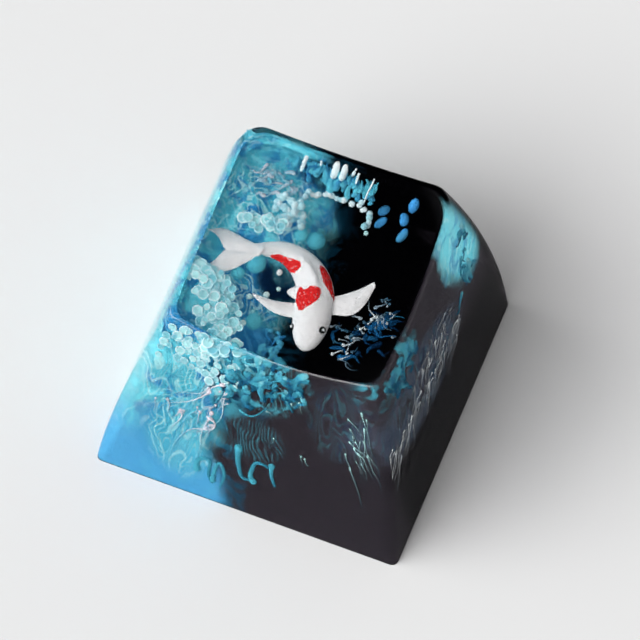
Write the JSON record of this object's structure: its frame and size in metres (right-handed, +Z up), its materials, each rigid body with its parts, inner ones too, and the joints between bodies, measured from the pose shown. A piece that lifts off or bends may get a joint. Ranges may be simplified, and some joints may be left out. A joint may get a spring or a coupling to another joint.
{
  "type": "keycap",
  "caption": "Tall sculpted keyboard keycap cast in resin: a dished clear upper pour holds a koi figure over an ink-dyed lower pour with a cross-socket stem.",
  "frame": {"origin": "centre of the square skirt on the plane of its rim", "axes": "+Z up from the rim to the dish, +X to the typist's right, +Y to the back row"},
  "size_m": [0.0184, 0.0184, 0.0139],
  "materials": {
    "clear_resin": "polished dish, satin walls",
    "dyed_resin": "satin, ink swirls from sky blue to black",
    "koi_paint": "white with red patches"
  },
  "bodies": {
    "root": {"clear_pour": "clear_resin", "dyed_pour": "dyed_resin", "koi_figure": "koi_paint"}
  },
  "joints": []
}
